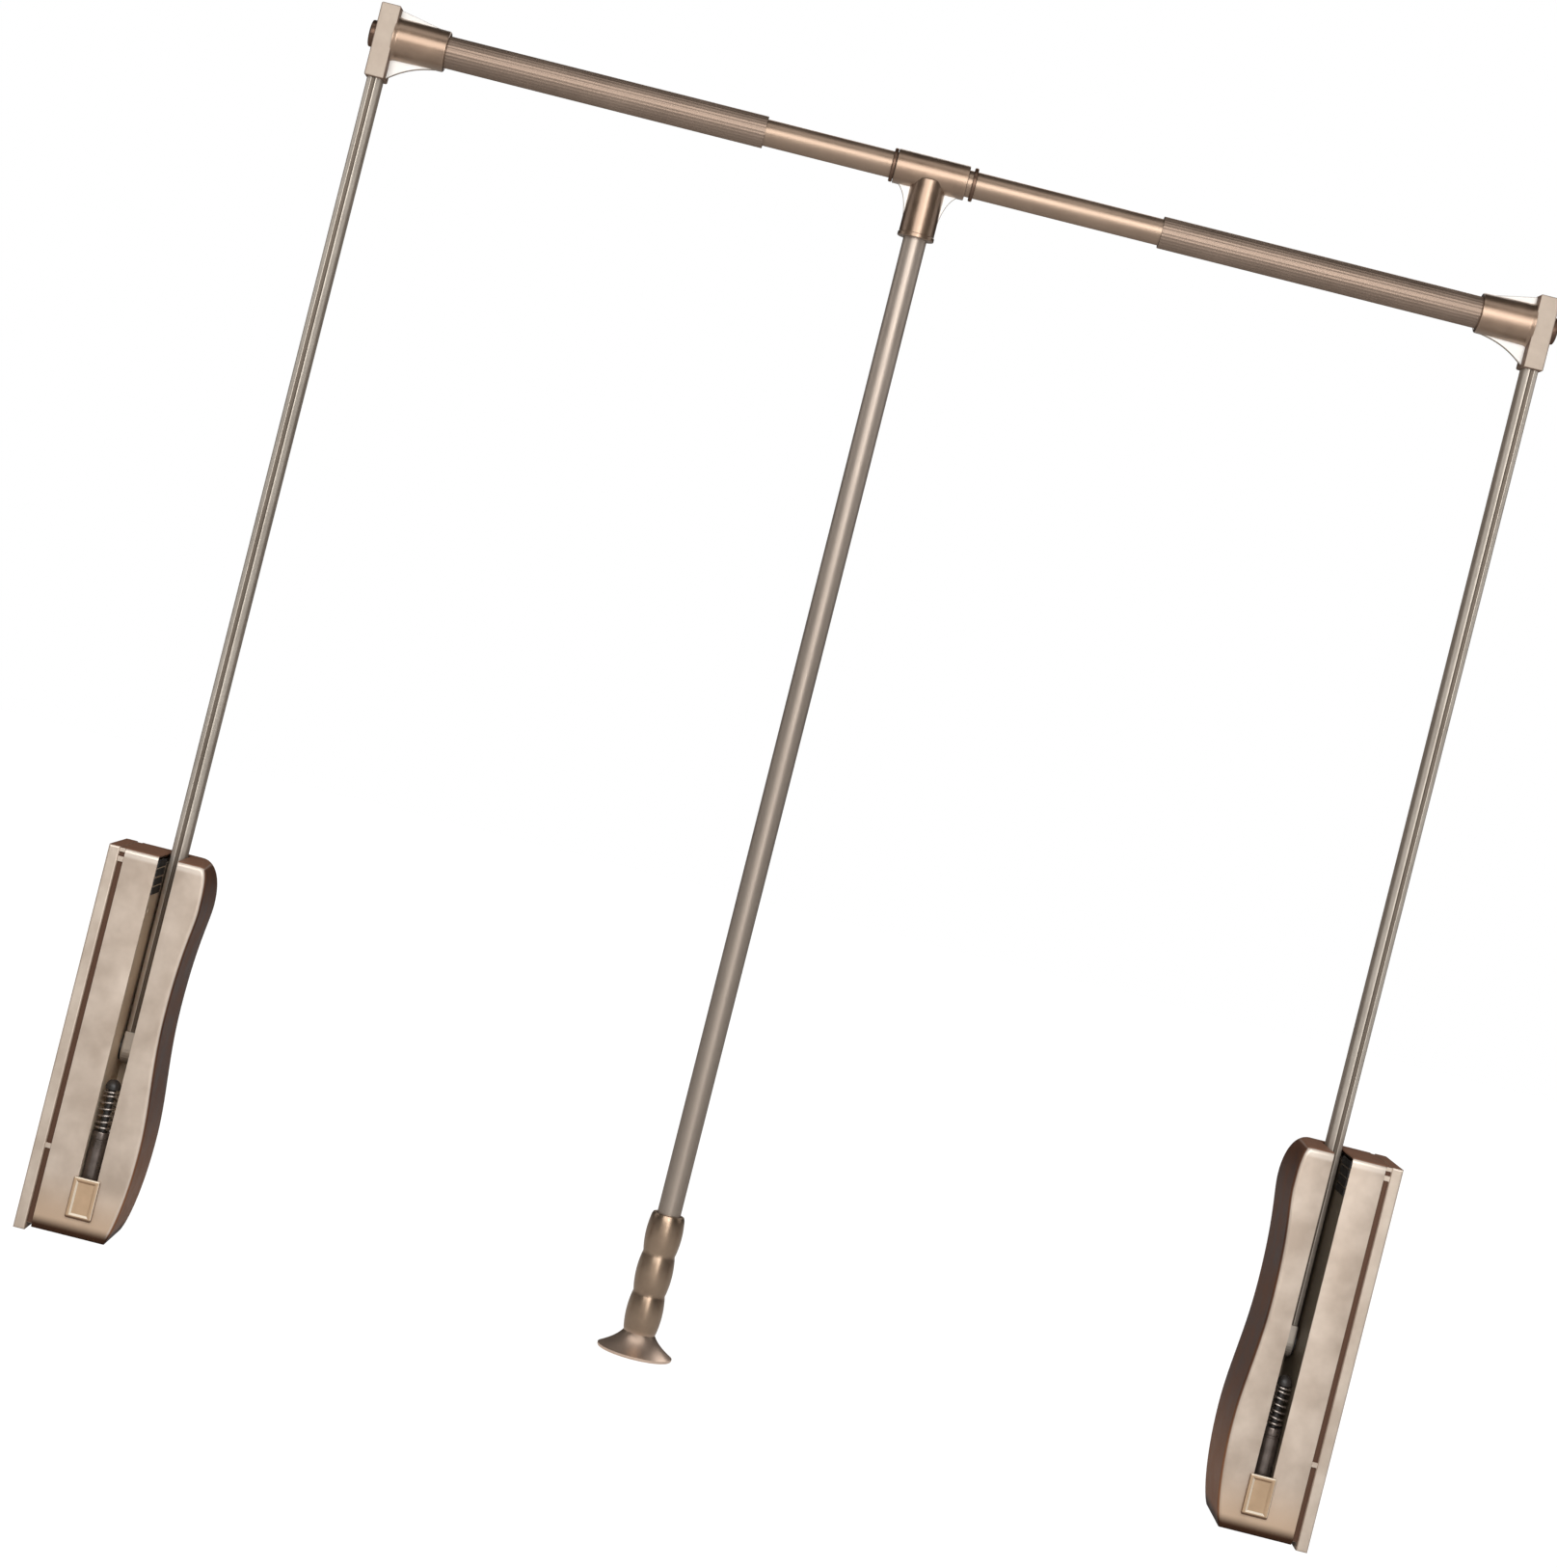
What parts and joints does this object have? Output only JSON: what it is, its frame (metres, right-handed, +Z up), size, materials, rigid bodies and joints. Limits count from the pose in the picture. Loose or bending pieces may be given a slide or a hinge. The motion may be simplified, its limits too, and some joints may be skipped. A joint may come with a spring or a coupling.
{
  "type": "pull-down wardrobe rail",
  "caption": "Pull-down wardrobe rail: wall housings with sprung swinging arms, a telescopic hanging bar and a pull rod, in champagne metal.",
  "frame": {"origin": "on the floor plane of the wall plates' feet, midway between the two wall faces and midway through the depth", "axes": "+Z up, +X to the right along the hanging bar, -Y to the front, the side to which the bar swings down"},
  "size_m": [1.044, 0.0878, 1.0055],
  "materials": {
    "champagne_moulding": "metallic champagne paint on a moulded body, satin",
    "bronze_sheet": "bronze painted sheet, satin",
    "bronze_casting": "metallic bronze paint, satin",
    "champagne_aluminium": "champagne anodised, satin",
    "bright_aluminium": "champagne anodised, bright",
    "dark_steel": "blackened",
    "spring_steel": "oiled wire",
    "black_rubber": "matt, ribbed",
    "black_nylon": "moulded, matt"
  },
  "bodies": {
    "left_housing": {"left_wall_plate": "champagne_moulding", "left_housing_cover": "champagne_moulding", "left_slot_cap": "champagne_moulding", "left_chassis": "bronze_sheet", "left_stop_bumper": "black_rubber", "left_outer_bush": "black_nylon", "left_inner_bush": "black_nylon", "left_torsion_spring": "spring_steel", "left_buffer_cylinder": "dark_steel"},
    "left_arm": {"left_pivot_shaft": "dark_steel", "left_spring_drum": "dark_steel", "left_arm_hub": "bronze_casting", "left_arm_tube": "champagne_aluminium", "left_corner_connector": "bronze_casting", "left_connector_cap": "black_nylon", "left_outer_tube": "champagne_aluminium", "left_tube_guide": "black_nylon"},
    "left_buffer": {"left_buffer_plunger": "black_nylon", "left_buffer_spring": "spring_steel"},
    "right_housing": {"right_wall_plate": "champagne_moulding", "right_housing_cover": "champagne_moulding", "right_slot_cap": "champagne_moulding", "right_chassis": "bronze_sheet", "right_stop_bumper": "black_rubber", "right_outer_bush": "black_nylon", "right_inner_bush": "black_nylon", "right_torsion_spring": "spring_steel", "right_buffer_cylinder": "dark_steel"},
    "right_arm": {"right_pivot_shaft": "dark_steel", "right_spring_drum": "dark_steel", "right_arm_hub": "bronze_casting", "right_arm_tube": "champagne_aluminium", "right_corner_connector": "bronze_casting", "right_connector_cap": "black_nylon", "right_outer_tube": "champagne_aluminium", "right_tube_guide": "black_nylon"},
    "right_buffer": {"right_buffer_plunger": "black_nylon", "right_buffer_spring": "spring_steel"},
    "inner_bar": {"inner_tube": "bright_aluminium", "left_stop_ring": "bronze_casting", "right_stop_ring": "bronze_casting"},
    "tee_slider": {"tee_bush": "black_nylon"},
    "pull_handle": {"tee_connector": "bronze_casting", "pull_rod": "bright_aluminium", "grip": "champagne_moulding"}
  },
  "joints": [
    {"name": "lift", "type": "hinge", "parent": "left_housing", "child": "left_arm", "pos_m": [-0.474, 0.01355, 0.15], "axis": [1, 0, 0], "range_deg": [0, 100], "stiffness_Nm_per_rad": 16.8, "springref_deg": -32.66},
    {"name": "telescope_left", "type": "slide", "parent": "left_arm", "child": "inner_bar", "axis": [1, 0, 0], "range_m": [-0.088, 0.06]},
    {"name": "telescope_right", "type": "slide", "parent": "inner_bar", "child": "right_arm", "axis": [1, 0, 0], "range_m": [-0.132, 0.04]},
    {"name": "right_lift", "type": "hinge", "parent": "right_arm", "child": "right_housing", "pos_m": [0.474, 0.01355, 0.15], "axis": [1, 0, 0], "range_deg": [-100, 0]},
    {"name": "tee_shift", "type": "slide", "parent": "inner_bar", "child": "tee_slider", "axis": [1, 0, 0], "range_m": [0, 0.0034]},
    {"name": "pull_rod_swing", "type": "hinge", "parent": "tee_slider", "child": "pull_handle", "pos_m": [-0.026, 0.01355, 0.981], "axis": [1, 0, 0], "continuous": true},
    {"name": "left_buffer_stroke", "type": "slide", "parent": "left_housing", "child": "left_buffer", "axis": [0, 0, -1], "range_m": [0, 0.012], "stiffness_N_per_m": 2500, "springref_m": -0.003, "deforming": ["left_buffer_spring"]},
    {"name": "right_buffer_stroke", "type": "slide", "parent": "right_housing", "child": "right_buffer", "axis": [0, 0, -1], "range_m": [0, 0.012], "stiffness_N_per_m": 2500, "springref_m": -0.003, "deforming": ["right_buffer_spring"]}
  ],
  "couplings": [
    {"joint": "right_lift", "follows": "lift", "ratio": -1}
  ]
}
